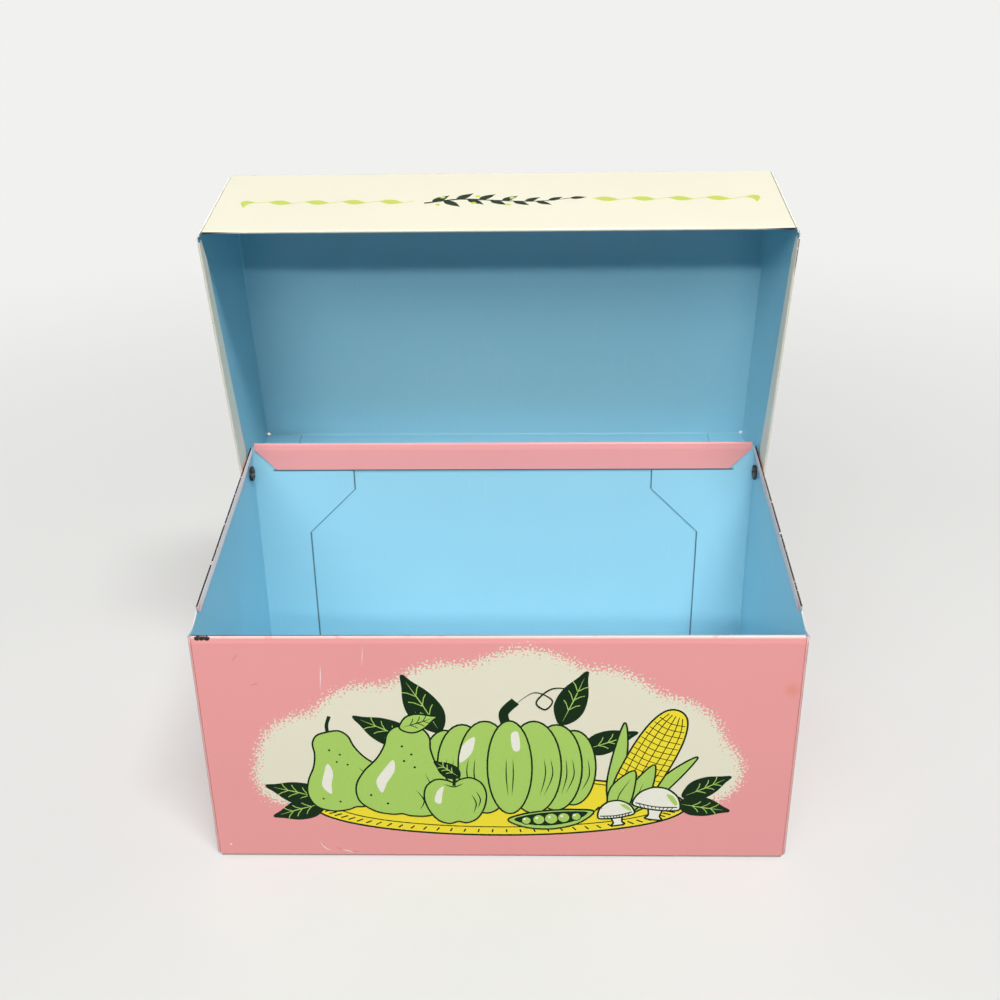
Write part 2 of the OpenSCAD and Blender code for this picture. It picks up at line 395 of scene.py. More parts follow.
# %% Front rim and corners: wear, painted highlight and a dark line
# Pale pink for rubbed paint, also laid on as a painted highlight; near-black for wear, also laid on
# as painted shade
RUBBED_PINK_AND_HIGHLIGHT, DARK_WEAR_AND_SHADE = "#f9cfc9", "#221d1c"
wide = from_middle(point)
near_front = ramp(in_front, -1.2, -0.9)
crest = ramp(along(point, (0, -0.35, 1), (0, front_y, front_rim - 0.1)), -0.6, -0.4)
corners = times(ramp(wide, side_x - 0.65, side_x - 0.25), near_front)
wear_and_highlight_noise = add(tree, "TexNoise", {"Vector": point, "Scale": 1 / 3.0, "Detail": 5.0})
# Painted highlight: pale pink along the crest, partly rubbed paint, and along the corner bends of
# the front
pale = times(either(times(crest, near_front), corners), ramp(wear_and_highlight_noise, 0.2, 0.42))
ink = over(ink, pale, RUBBED_PINK_AND_HIGHLIGHT)

# A dark line just behind the crest of the front hem, darkest at the left
behind = along(point, (0, 1, 0), (0, front_y, 0))
to_left = slope(along(point, (-1, 0, 0), (0, 0, 0)), -side_x, side_x, 0.1, 0.9)
rear_line = times(ramp(behind, 0.12, 0.24), ramp(behind, 1.2, 1.0), to_left,
                  ramp(along(point, (0, 0, 1), (0, 0, front_rim)), -0.5, -0.4))
ink = over(ink, rear_line, DARK_WEAR_AND_SHADE)

# %% Worn side rims, with a painted highlight on their inner side and painted shade at the foot
SIDE_SLOPE = math.radians(9.46)  # of the side rims, down towards the front
SIDE_REAR = (0, -28.5, 63.0)  # mm, a place on that slope, where the hem's rear corner is
on_side = ramp(wide, side_x - 0.8, side_x - 0.7)
inner_face = ramp(wide, side_x - 0.2, side_x - 0.28)
side_reach = along(point, (0, -math.sin(SIDE_SLOPE), math.cos(SIDE_SLOPE)), SIDE_REAR)
rubbed = times(ramp(side_reach, -0.45, -0.25), on_side, patches(point, 3.0, 0.8))
ink = over(ink, rubbed, RUBBED_PINK_AND_HIGHLIGHT)
# Painted highlight: the inner side of the side hems is made paler
inner_side_highlight = times(on_side, inner_face, ramp(side_reach, -3.2, -1.8),
                   ramp(along(point, (0, 1, 0), SIDE_REAR), -1.0, 5.0),
                   patches(point, 5.0, 0.9), 0.85)
ink = over(ink, inner_side_highlight, BASE_COAT_AND_HIGHLIGHT)
side_crest = times(ramp(side_reach, -0.13, -0.07), on_side, patches(point, 3.0, 0.75))
# Painted shade: dark patches along the bottom bend, where the box meets the floor
foot = times(ramp(along(point, (0, 0, -1), (0, 0, 0)), -0.75, -0.2),
             patches(point, 2.5, 0.75), 0.75)
ink = over(ink, either(side_crest, foot), DARK_WEAR_AND_SHADE)

# %% [markdown]
# ## Chips, rust and the raw edge
#
# Knocks chipped the left front corner to the steel, and rust crept out in one spot at the right.
# A chip is an ellipse whose border is nibbled by noise, laid over the ink as a mask. A dark film
# would need an outline and could lift off the bend, where a mask follows the sheet.

# %% Chips and rust
CHIPS = ((-64.75, 60.4, 0.6, 0.6), (-63.75, 60.4, 0.65, 0.62), (-62.6, 60.4, 0.8, 0.6),
         (-63.7, 60.7, 1.9, 0.28))  # mm: place across and up, then half the width and height
NIBBLE = 1.2  # share of a chip's size that the noise takes or gives
RUST_STAIN, RUST_AT = "#e8884e", (64.4, front_y, 47.2)
nibbled = add(tree, "TexNoise", {"Vector": point, "Scale": 1 / 0.5, "Detail": 2.0})
for x, z, across, up in CHIPS:
    gap = add(tree, "VectorMath", {"Vector": point, "Vector_001": (x, 0, z)}, operation="SUBTRACT")
    gap = add(tree, "VectorMath", {"Vector": gap, "Vector_001": (1 / across, 0, 1 / up)},
              operation="MULTIPLY")
    gap = add(tree, "VectorMath", {"Vector": gap}, operation="LENGTH").outputs["Value"]
    gap = add(tree, "Math", {"Value": nibbled, "Value_001": NIBBLE, "Value_002": gap},
              operation="MULTIPLY_ADD")
    ink = over(ink, times(ramp(gap, 1.6, 1.4), near_front), DARK_WEAR_AND_SHADE)
gap = add(tree, "VectorMath", {"Vector": point, "Vector_001": RUST_AT}, operation="DISTANCE")
stain = times(ramp(gap.outputs["Value"], 2.6, 0.2), 0.35)
ink = over(over(ink, stain, RUST_STAIN), raw_edge(point), BASE_COAT_AND_HIGHLIGHT)
link(ink, shader, "Base Color")
print(len(CHIPS), "chips, rust at", RUST_AT)

# %% [markdown]
# ## Lean of the folds
#
# A fold pulls the wall back over its last two millimetres, and the loose edge of a side hem stands
# off the wall a little. Both are too slight for the solid but catch the light. A bump shows such a
# lean: its height grows across the band, and the band's edge is where the sheet starts to lean.

# %% Lean of the body's folds
FOLD_BAND, FOLD_LEAN = 1.9, 0.2  # mm, height of the band under a fold and how far it leans
SIDE_HEM = 2.5  # mm, depth of the side hems
HEM_LEAN = 0.45  # mm per mm that the loose edge of a side hem stands off
for wall_y, rim_z in ((front_y, front_rim), (back_y, back_rim)):
    beside = add(tree, "Math", {"Value": along(point, (0, 1, 0), (0, wall_y, 0))},
                 operation="ABSOLUTE")
    under_fold = slope(along(point, (0, 0, 1), (0, 0, rim_z)), -FOLD_BAND, 0.0)
    bow(shader, times(under_fold, ramp(beside, 1.0, 0.9)), -FOLD_LEAN)
from_rim = slope(side_reach, -SIDE_HEM, 0.0, 1.0, 0.0)
bow(shader, times(from_rim, on_side, inner_face), SIDE_HEM * HEM_LEAN)
print(pink.name, len(tree.nodes), "nodes")

# %% [markdown]
# ## Cream outside of the lid
#
# The lid has the same ink and varnish in a warm cream. Its rims take the knocks: the crests of the
# side hems show a broken dark line. A thin dark line runs along the underside of the front rim near
# its corners. A dark seam shows where the front wall meets its rounded corner. The inner side of
# the side hems is made paler as a painted highlight. The masks are simplest on the shut lid, so the
# point is first turned back about the hinge.

# %% Cream enamel
LID_CREAM, LID_CREAM_SHADE, HEM_HIGHLIGHT_CREAM = "#f1edd6", "#efead2", "#fffbea"
LID_SLOPE = math.radians(2.86)  # of the lid's side rims, down towards the front
LID_RIM = (0, -37.5, 58.0)  # mm, a place on that slope, at the front
SEAM = lid_side - 1.0  # mm, where the front wall ends beside its rounded corner
cream, tree, shader, point, ink = enamel("cream_litho_enamel", LID_CREAM, LID_CREAM_SHADE, 0.2)
shut = add(tree, "VectorRotate", {"Vector": point, "Center": pivot / MM, "Angle": open_turn},
           rotation_type="X_AXIS")
wide = from_middle(shut)
at_side = ramp(wide, lid_side - 0.7, lid_side - 0.6)
at_front = ramp(along(shut, (0, -1, 0), (0, lid_front, 0)), -1.1, -0.8)
lid_reach = along(shut, (0, math.sin(LID_SLOPE), -math.cos(LID_SLOPE)), LID_RIM)

# %% Wear and a dark line on the lid's rims
right_front = times(ramp(along(shut, (0, -1, 0), (0, -29.0, 0)), -2, 2),
                    ramp(along(shut, (1, 0, 0), (0, 0, 0)), -1, 1))
speckled = either(patches(shut, 1.3, 0.12), times(right_front, patches(shut, 2.0, 0.8)))
side_crest = times(ramp(lid_reach, -0.2, -0.08), at_side, speckled)
# A thin dark line along the underside of the front rim, towards its corners
front_crest = times(ramp(along(shut, (0, 0, -1), (0, 0, 60.0)), -0.6, -0.4),
                    at_front, ramp(wide, 57.0, 66.0),
                    ramp(along(shut, (0, 1, 0), (0, lid_front, 0)), 0.1, 0.3))
ink = over(ink, either(side_crest, front_crest), DARK_WEAR_AND_SHADE)
seam = times(ramp(wide, SEAM - 0.1, SEAM), ramp(wide, SEAM + 0.32, SEAM + 0.22),
             at_front, patches(shut, 4.0, 0.7), 0.6)
ink = over(ink, seam, DARK_WEAR_AND_SHADE)

# %% Painted highlight and lean of the lid's hems
LID_HEM = 7.0  # mm, depth of the lid's side hems
inside_hem = times(at_side, ramp(wide, lid_side - 0.2, lid_side - 0.28))
# Painted highlight: the inner side of the side hems is made paler
link(over(ink, times(inside_hem, 0.7), HEM_HIGHLIGHT_CREAM), shader, "Base Color")
from_rim = slope(lid_reach, -LID_HEM, 0.0, 1.0, 0.0)
bow(shader, times(from_rim, inside_hem), LID_HEM * HEM_LEAN)
print(cream.name, len(tree.nodes), "nodes")

# %% [markdown]
# ## Light-blue inside
#
# The inside of both blanks is one even coat of light-blue lacquer, rolled on before folding. It has
# less gleam than the outside, and faint scuffs where cards were pushed in and out. On the back
# wall, shade is painted as dark lines a third of a millimetre wide beside the corner tabs and under
# the hem, where the gaps fall in shadow. Their course is that of the tabs, so it is worked out from
# the height.

# %% Blue lacquer
LACQUER_BLUE, LACQUER_BLUE_SHADE, SCUFFED_BLUE = "#a3dbed", "#a0d8eb", "#b2dde6"
SCUFF_STRETCH = (1.2, 0.08, 0.06)  # per mm: scuffs are narrow across and long along the cards
blue, tree, shader, point, ink = enamel(
    "light_blue_lacquer", LACQUER_BLUE, LACQUER_BLUE_SHADE, 0.16, 0.25)
stretched = add(tree, "Mapping", {"Vector": point, "Scale": SCUFF_STRETCH})
strokes = add(tree, "TexNoise", {"Vector": stretched, "Scale": 1.0, "Detail": 3.0})
ink = over(ink, times(ramp(strokes, 0.6, 0.72), 0.25), SCUFFED_BLUE)

# %% Painted shade on the back wall
GAP_SHADE_BLUE = "#2a4450"
TAB_LOW, TAB_HIGH = 48.0, 61.0  # mm, heights between which the back tabs widen
TAB_NARROW, TAB_WIDE = 53.0, 40.0  # mm from the middle to the tabs' edges there
HEM_DEPTH, HEM_END = 7.5, 62.0  # mm, depth of the back hem and where it ends at the sides
place = add(tree, "SeparateXYZ", {"Vector": point}).outputs
wide = from_middle(point)
tab_edge = slope(place["Z"], TAB_LOW, TAB_HIGH, TAB_NARROW, TAB_WIDE)
beside_tab = add(tree, "Math", {"Value": tab_edge, "Value_001": wide}, operation="SUBTRACT")
under_hem = add(tree, "Math", {"Value": back_rim - HEM_DEPTH, "Value_001": place["Z"]},
                operation="SUBTRACT")
# Painted shade: a dark line in the gap beside each tab, and a painted shadow under the hem's edge
tab_gap_shade = times(ramp(beside_tab, -0.05, 0.0), ramp(beside_tab, 0.42, 0.22))
hem_shadow = times(ramp(under_hem, -0.1, 0.0), ramp(under_hem, 0.7, 0.45),
                  ramp(wide, HEM_END, HEM_END - 1.0))
on_back = times(ramp(place["Y"], back_y - 0.9, back_y - 0.7),
                ramp(place["Y"], back_y, back_y - 0.1))
# Painted shade laid on the back wall only
grime_and_shade = times(either(tab_gap_shade, hem_shadow), on_back, 0.7)
ink = over(over(ink, grime_and_shade, GAP_SHADE_BLUE), raw_edge(point), BASE_COAT_AND_HIGHLIGHT)
link(ink, shader, "Base Color")
print(blue.name, len(tree.nodes), "nodes")

# %% [markdown]
# ## Bare metal
#
# Where the shears cut the blank, the tinplate shows its own bright grey in a line a quarter of a
# millimetre wide. On the dipped edges the cutter dragged the white base coat over the metal, so
# they are pale and hardly metallic. Under the back hem the tabs' edges are coloured dark. The
# rivets are plain steel that has gone dark brown. A metal keeps the default IOR: its colour and its
# roughness do the work.

# %% Cut edge
TIN_BRIGHT, TIN_DULL, TIN_DARK = "#eef0ee", "#c9ccc9", "#1f2426"
SHEAR_MARKS = 0.6  # mm, length of the marks that the shears dragged in the edge
TAB_TOP = 72.5  # mm, height under which the tabs' edges are dark
bright, tree, shader, point = new_material("cut_tinplate_edge", Metallic=1.0)
drag = add(tree, "TexNoise", {"Vector": point, "Scale": 1 / SHEAR_MARKS, "Detail": 3.0})
at_back = ramp(along(point, (0, 1, 0), (0, back_y, 0)), -1.0, -0.7)
# The tabs' edges below the back hem are coloured dark
dark_tab_edges = times(at_back, ramp(along(point, (0, 0, -1), (0, 0, TAB_TOP)), 0, 0.5))
shine = over(over(TIN_BRIGHT, drag, TIN_DULL), dark_tab_edges, TIN_DARK)
link(shine, shader, "Base Color")
link(slope(raw_edge(point), 0.0, 1.0, 1.0, 0.1), shader, "Metallic")
link(slope(drag, 0.0, 1.0, 0.4, 0.65), shader, "Roughness")
print(bright.name, len(tree.nodes), "nodes")

# %% Browned rivets
STEEL_BROWN, STEEL_DARK = "#6f6660", "#3a2c25"
PITTING, PIT_DEPTH = 0.9, 4e-5  # mm, size of the pits, and m, the depth that the bump gives
dark_steel, tree, shader, point = new_material("browned_steel", Metallic=1.0)
bloom = add(tree, "TexNoise", {"Vector": point, "Scale": 1 / PITTING, "Detail": 5.0,
                               "Roughness": 0.65})
rusty = over(STEEL_BROWN, ramp(bloom, 0.42, 0.62), STEEL_DARK)
link(rusty, shader, "Base Color")
link(slope(bloom, 0.3, 0.7, 0.3, 0.6), shader, "Roughness")
pits = add(tree, "Bump", {"Height": bloom, "Distance": PIT_DEPTH, "Strength": 0.5})
link(pits, shader, "Normal")
print(dark_steel.name, len(tree.nodes), "nodes")

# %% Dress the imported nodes
dress(body_shell, Vector((0, 0, -1)), (pink, blue, bright))
dress(lid_shell, opening.to_3x3() @ Vector((0, 0, 1)), (cream, blue, bright))
for name in ("left_rivet", "right_rivet"):
    frame["nodes"][name].data.materials.clear()
    frame["nodes"][name].data.materials.append(dark_steel)

# %% [markdown]
# ## Printing with films of ink
#
# The picture is flat colour with dark outlines, printed one ink after another. Each shape here is
# a closed film a few hundredths of a millimetre thick, pressed on the wall, and a later film lies
# a hair higher, so that it covers the earlier ones as a later ink does. Shader nodes could draw
# discs and stripes, but pears and leaves are far easier as outlines.

# %% Curves and films
FIRST_FILM, NEXT_FILM = 0.006 * MM, 0.0005 * MM
OUTLINE = 0.42  # mm, width of the dark lines
TAPER_TIP = 0.12  # share of its width that a thinning line keeps at its ends


def smooth(points, closed=True, steps=6):
    """A curve through the points."""
    count = len(points)
    curve = []
    for i in range(count if closed else count - 1):
        near = [j % count if closed else min(max(j, 0), count - 1) for j in range(i - 1, i + 3)]
        p0, p1, p2, p3 = (Vector(points[j]) for j in near)
        for step in range(steps):
            t = step / steps
            curve.append(0.5 * (2 * p1 + (p2 - p0) * t
                                + (2 * p0 - 5 * p1 + 4 * p2 - p3) * t ** 2
                                + (3 * p1 - p0 - 3 * p2 + p3) * t ** 3))
    return curve if closed else curve + [Vector(points[-1])]


def placed(points, at, size=(1, 1), turn=0):
    """Points scaled, turned by degrees and moved."""
    cos, sin = math.cos(math.radians(turn)), math.sin(math.radians(turn))
    return [Vector((at[0] + p[0] * size[0] * cos - p[1] * size[1] * sin,
                    at[1] + p[0] * size[0] * sin + p[1] * size[1] * cos)) for p in points]


def mirrored(half):
    """A closed outline from its right half, listed from the top down."""
    return half + [(-x, z) for x, z in reversed(half) if x]


def oval(x, z, across, up, turn=0, sides=36):
    """An ellipse by its centre and half axes."""
    ring = [(math.cos(math.tau * i / sides), math.sin(math.tau * i / sides)) for i in range(sides)]
    return placed(ring, (x, z), (across, up), turn)


drawing = []


def fill(ink, points):
    """Adds a filled shape to the drawing."""
    drawing.append((ink, [Vector(p) for p in points], None))


def line(ink, points, width=OUTLINE, closed=False, taper=False):
    """Adds a line of one width, or thinning to both ends, or with a width for each point."""
    points = [Vector(p) for p in points]
    last = len(points) - 1
    if isinstance(width, (int, float)):
        width = [width * (max(TAPER_TIP, math.sin(math.pi * i / last)) if taper else 1)
                 for i in range(last + 1)]
    sides = ([], [])
    for i, p in enumerate(points):
        before = points[i - 1] if closed or i else p
        after = points[(i + 1) % len(points)] if closed or i < last else p
        way = (after - before).normalized()
        half = Vector((-way.y, way.x)) * width[i] / 2
        sides[0].append(p + half)
        sides[1].append(p - half)
    drawing.append((ink, sides, closed))


def shape(ink, points, edge="dark", width=OUTLINE):
    """A filled shape with an outline."""
    fill(ink, points)
    line(edge, points, width, closed=True)


def film(bm, points, wall, height, quads):
    """One closed film: points in mm, and the quads or the one polygon that cover them."""
    top = [bm.verts.new(wall @ Vector((p.x * MM, p.y * MM, height))) for p in points]
    foot = [bm.verts.new(wall @ Vector((p.x * MM, p.y * MM, 0))) for p in points]
    used = {}
    for face in quads:
        bm.faces.new([top[i] for i in face])
        bm.faces.new([foot[i] for i in reversed(face)])
        for a, b in zip(face, face[1:] + face[:1]):
            used[(a, b)] = used.get((b, a)) is None
            if not used[(a, b)]:
                used[(b, a)] = False
    for (a, b), outer in used.items():
        if outer:
            bm.faces.new([top[b], top[a], foot[a], foot[b]])


def press(title, inks, wall, body):
    """Turns the drawing into one piece per ink, pressed on a wall that rides on a body."""
    meshes = {}
    for order, (ink, points, closed) in enumerate(drawing):
        bm = meshes.setdefault(ink, bmesh.new())
        height = FIRST_FILM + order * NEXT_FILM
        if closed is None:
            film(bm, points, wall, height, [list(range(len(points)))])
        else:
            count = len(points[0])
            steps = range(count if closed else count - 1)
            quads = [[i, i + count, (i + 1) % count + count, (i + 1) % count] for i in steps]
            film(bm, points[0] + points[1], wall, height, quads)
    for ink, bm in meshes.items():
        bmesh.ops.recalc_face_normals(bm, faces=bm.faces)
        mesh = bpy.data.meshes.new(f"{title}_{ink}")
        bm.to_mesh(mesh)
        bm.free()
        mesh.materials.append(inks[ink])
        piece = into_scene(mesh.name, mesh)
        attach(piece, body)
        print(piece.name, len(mesh.polygons), "faces")
    print(title, len(drawing), "films, the highest", round(height / MM, 3), "mm")
    drawing.clear()


# %% [markdown]
# ## Printing inks
#
# Four inks make the picture: yellow, leaf green, a near-black green for lines and shadows, and
# the cream again for lights. They lie under the same varnish as the ground and share its IOR, but
# heavy ink gleams less than the bare coat, which keeps the dark lines dark beside a pale floor.
# A fine noise stands for the slight hunger of a dry litho plate.

# %% Inks
INK_GLEAM = 0.15  # specular level of the inks
INK_SPECKLE = 0.5  # mm, size of the thin spots that the plate left


def printing_ink(name, colour):
    """A flat ink under varnish, a little uneven."""
    material, tree, shader, point = new_material(
        name, **{"IOR": VARNISH_IOR, "Specular IOR Level": INK_GLEAM})
    speckle = add(tree, "TexNoise", {"Vector": point, "Scale": 1 / INK_SPECKLE, "Detail": 2.0})
    thin = [min(1, c * 1.12 + 0.004) for c in linear(colour)]
    link(over(colour, speckle, thin), shader, "Base Color")
    link(slope(speckle, 0.0, 1.0, 0.18, 0.3), shader, "Roughness")
    return material


inks = {
    "yellow": printing_ink("yellow_litho_ink", "#ffe53a"),
    "green": printing_ink("leaf_green_litho_ink", "#aed468"),
    "dark": printing_ink("dark_green_litho_ink", "#062708"),
    "light": printing_ink("cream_litho_ink", "#f3f2e2"),
}
print("inks", [ink.name for ink in inks.values()])

# %% [markdown]
# ## The picture on the front
#
# A kitchen tin usually carries fruit and vegetables. This one is a plain harvest: a ribbed squash
# on a round yellow tray, with pears, an apple, a cob of maize, mushrooms, a pea pod and leaves.
# Each thing is a function of place, size and turn, so that the layout can be changed at will.

# %% Leaves, pears and apples
LEAF = [(0, 0), (0.14, 0.12), (0.21, 0.32), (0.17, 0.6), (0.06, 0.85), (0, 1),
        (-0.08, 0.84), (-0.2, 0.58), (-0.22, 0.3), (-0.12, 0.1)]
PEAR = [(0, 1.0), (0.12, 0.985), (0.19, 0.9), (0.21, 0.77), (0.27, 0.62), (0.38, 0.46),
        (0.44, 0.29), (0.4, 0.12), (0.25, 0.02), (0.09, 0.0), (0, 0.015)]
APPLE = [(0, 0.87), (0.12, 0.93), (0.3, 0.95), (0.47, 0.82), (0.53, 0.58), (0.47, 0.3),
         (0.33, 0.08), (0.15, 0.0), (0, 0.035)]


def drawn_at(at, size, turn):
    """A function that smooths points and puts them there, scaled and turned."""
    return lambda points, closed=True, steps=6: placed(
        smooth(points, closed, steps), at, (size, size), turn)


def leaf(at, length, turn, ink="dark", vein="green", broad=1.0):
    """A pointed leaf with a vein and side veins."""
    put = drawn_at(at, length, turn)
    shape(ink, placed(smooth(LEAF), at, (length * broad, length), turn))
    line(vein, put([(0, 0.06), (0.01, 0.5), (0, 0.88)], False, 1), 0.3, taper=True)
    for share in (0.28, 0.46, 0.63):
        for way in (-broad, broad):
            rib = [(0, share), (way * 0.075, share + 0.1), (way * 0.13, share + 0.14)]
            line(vein, put(rib, False, 1), 0.2)


def pear(at, height, turn):
    """A pear with a stalk, a light on its belly and a shaded flank."""
    put = drawn_at(at, height, turn)
    line("dark", put([(0, 0.97), (0.02, 1.08), (0.08, 1.18)], False), 0.8)
    shape("green", put(mirrored(PEAR)))
    fill("light", put([(-0.26, 0.36), (-0.2, 0.5), (-0.12, 0.62), (-0.1, 0.5), (-0.16, 0.36),
                       (-0.2, 0.24)]))
    for bow, low, high in ((0.33, 0.14, 0.46), (0.26, 0.1, 0.5), (0.19, 0.08, 0.3)):
        flank = [(bow - 0.03, low), (bow, (low + high) / 2), (bow - 0.08, high)]
        line("dark", put(flank, False), 0.3, taper=True)
    for x, z in ((-0.05, 0.78), (0.04, 0.7), (-0.02, 0.62), (0.08, 0.56), (-0.3, 0.2),
                 (-0.14, 0.12)):
        fill("dark", put(oval(x, z, 0.012, 0.012, sides=8), steps=1))


def apple(at, height, turn):
    """An apple with its stalk in a dimple."""
    put = drawn_at(at, height, turn)
    shape("green", put(mirrored(APPLE)))
    fill("light", put([(-0.36, 0.5), (-0.3, 0.7), (-0.18, 0.8), (-0.22, 0.62), (-0.26, 0.44)]))
    line("dark", put([(-0.16, 0.84), (0, 0.78), (0.16, 0.84)], False), 0.34, taper=True)
    line("dark", put([(0, 0.8), (0.03, 1.0), (0.1, 1.14)], False), 0.75)
    for bow, low, high in ((0.42, 0.3, 0.66), (0.34, 0.2, 0.6)):
        flank = [(bow - 0.06, low), (bow, (low + high) / 2), (bow - 0.06, high)]
        line("dark", put(flank, False), 0.3, taper=True)


# %% Squash, maize, mushrooms and peas
def squash(at, width, height):
    """A ribbed squash: its ribs overlap from the sides to the middle."""
    def put(points):
        return [(at[0] + x * width, at[1] + z * height) for x, z in points]
    (x, z), middle = at, (0, 0.13, 1.0)
    ribs = [(0.37, 0.13, 0.8), (0.27, 0.15, 0.92), (0.14, 0.16, 0.99)]
    line("dark", smooth([(x - 0.5, z + height * 0.94), (x - 1.2, z + height * 1.08),
                         (x + 1.4, z + height * 1.2)], False), 2.2)
    for offset, half, tall in ribs:
        for way in (-offset, offset):
            shape("green", oval(x + way * width, z + height / 2, half * width, tall * height / 2))
    shape("green", oval(x, z + height / 2, middle[1] * width, height / 2))
    for offset, half, tall in ribs + [middle]:
        for way in (-1, 1) if offset else (1,):
            rib = x + way * offset * width
            outer = way * half * width * 0.55 if offset else 0
            for shift in (-0.9, 0.9):
                bow = outer + shift * 0.9
                hatch = [(rib + bow * 0.55, z + height * (0.5 - 0.3 * tall)),
                         (rib + bow, z + height * 0.42), (rib + bow * 0.9, z + height * 0.6)]
                line("dark", smooth(hatch, False), 0.28, taper=True)
    fill("light", smooth(put([(-0.29, 0.56), (-0.27, 0.74), (-0.2, 0.83), (-0.22, 0.66)])))
    fill("light", smooth(put([(0.02, 0.7), (0.01, 0.86), (0.05, 0.88), (0.06, 0.7)])))


def maize(at, length, turn):
    """A cob: rows of grains crossed by rings, in husk leaves."""
    put = drawn_at(at, length, turn)
    husk = [(0, -0.02), (0.16, 0.16), (0.25, 0.42), (0.3, 0.7), (0.2, 0.56), (0.1, 0.3)]
    shape("green", put(husk))
    shape("green", put([(-x, z * 1.08) for x, z in husk]))
    cob = [(0, 1.0), (0.09, 0.95), (0.145, 0.78), (0.16, 0.5), (0.13, 0.2), (0, 0.08)]
    shape("yellow", put(mirrored(cob)))
    for bow in (-0.105, -0.055, 0, 0.055, 0.105):
        row = [(bow * 0.8, 0.14), (bow * 1.05, 0.5), (bow * 0.95, 0.8), (bow * 0.5, 0.95)]
        line("dark", put(row, False), 0.22)
    for i in range(15):
        level = 0.2 + 0.05 * i
        half = 0.155 * math.sqrt(max(0, 1 - ((level - 0.5) / 0.52) ** 2))
        line("dark", put([(-half, level), (0, level - 0.02), (half, level)], False, 3), 0.2)
    front = [(0, -0.03), (0.1, 0.1), (0.13, 0.3), (0.05, 0.52), (-0.02, 0.3), (-0.04, 0.1)]
    shape("green", put(front))
    shape("green", put([(-x * 1.1, z * 0.8) for x, z in front]))
    for bow in (-0.06, 0.06):
        line("dark", put([(0, 0.02), (bow, 0.16), (bow * 0.8, 0.34)], False), 0.26, taper=True)


def mushroom(at, width, turn):
    """A mushroom from the side."""
    put = drawn_at(at, width, turn)
    shape("light", put([(-0.14, 0.34), (-0.12, 0.1), (-0.17, 0.0), (0.17, 0.0), (0.12, 0.1),
                        (0.14, 0.34)]))
    shape("light", put([(-0.5, 0.34), (-0.42, 0.62), (-0.2, 0.8), (0, 0.84), (0.2, 0.8),
                        (0.42, 0.62), (0.5, 0.34), (0.3, 0.27), (0, 0.25), (-0.3, 0.27)]))
    line("dark", put([(-0.44, 0.38), (0, 0.33), (0.44, 0.38)], False), 0.3)
    for i in range(9):
        x = -0.36 + 0.09 * i
        gill = [(x, 0.37 - 0.04 * (1 - abs(x) / 0.4)), (x * 0.85, 0.28)]
        line("dark", put(gill, False, 1), 0.2)
    fill("green", put([(0.3, 0.66), (0.42, 0.5), (0.4, 0.42), (0.28, 0.52), (0.16, 0.68)]))


def pea_pod(at, length, turn):
    """An open pod with five peas."""
    put = drawn_at(at, length, turn)
    pod = [(-0.5, 0.03), (-0.3, -0.1), (0, -0.15), (0.3, -0.1), (0.5, 0.05), (0.3, 0.1),
           (0, 0.12), (-0.3, 0.1)]
    shape("green", put(pod))
    fill("dark", put([(x * 0.86, z * 0.72 + 0.01) for x, z in pod]))
    for i, radius in enumerate((0.055, 0.07, 0.078, 0.07, 0.055)):
        x = (i - 2) * 0.145
        shape("green", put(oval(x, 0.0, radius, radius, sides=20), steps=1), width=0.25)
        fill("light", put(oval(x - 0.02, 0.025, 0.018, 0.018, sides=10), steps=1))
    line("dark", put([(0.5, 0.05), (0.56, 0.1), (0.6, 0.09)], False), 0.5, taper=True)


# %% Tray
FLUTES = 38  # short lines along the front of the tray's rim
shape("yellow", oval(0, 15.2, 43, 8.6, sides=72), width=0.5)
line("dark", oval(0, 15.9, 38.5, 6.9, sides=72), 0.28, closed=True)
for i in range(FLUTES):
    turn = math.pi * (1.03 + 0.94 * i / (FLUTES - 1))
    line("dark", [(across * math.cos(turn), middle + up * math.sin(turn))
                  for across, up, middle in ((39.9, 7.4, 15.7), (41.8, 8.0, 15.4))], 0.34)

# %% Lay out the picture
LEAVES = (((-13, 36), 17, 28), ((-19, 33), 15, 62), ((14, 38), 15, -22), ((19, 31), 13, -68),
          ((-40, 17), 14, 74), ((-40, 16), 13, 108), ((42, 18), 12, -62), ((41, 16), 12, -100))
TENDRIL = [(3.5, 43), (8, 46.5), (12, 44.5), (10.5, 42), (8.5, 44), (12, 47.5), (17, 47),
           (19.5, 44.5)]
for at, length, turn in LEAVES:
    leaf(at, length, turn)
pear((-33, 14.5), 22, 14)
maize((27, 12.5), 32, -24)
squash((2.5, 13), 39, 26)
line("dark", smooth(TENDRIL, False), 0.4, taper=True)
pear((-22.5, 12.5), 25, -6)
leaf((-22, 37), 9, -70, "green", "dark", 1.2)
apple((-9.5, 10.2), 13.5, 4)
leaf((-9, 23.5), 7, 52, "dark", "green", 1.2)
mushroom((35.5, 11.5), 11, -8)
mushroom((27.5, 9.8), 8.5, 10)
pea_pod((12, 11.6), 20, 6)
body_wall = Matrix.Translation((0, body_low.y, 0)) @ Matrix.Rotation(math.pi / 2, 4, "X")
press("front_print", inks, body_wall, "body")

# %% [markdown]
# ## The band on the lid
#
# Along the lid's front runs a slim twisted ribbon on each side, a printer's stock ornament. It is
# one line whose width swells four times, as a twisted ribbon shows its face and its edge in turn.
# A small sprig sits between the two. The drawing is made on the shut lid, then opened with it.

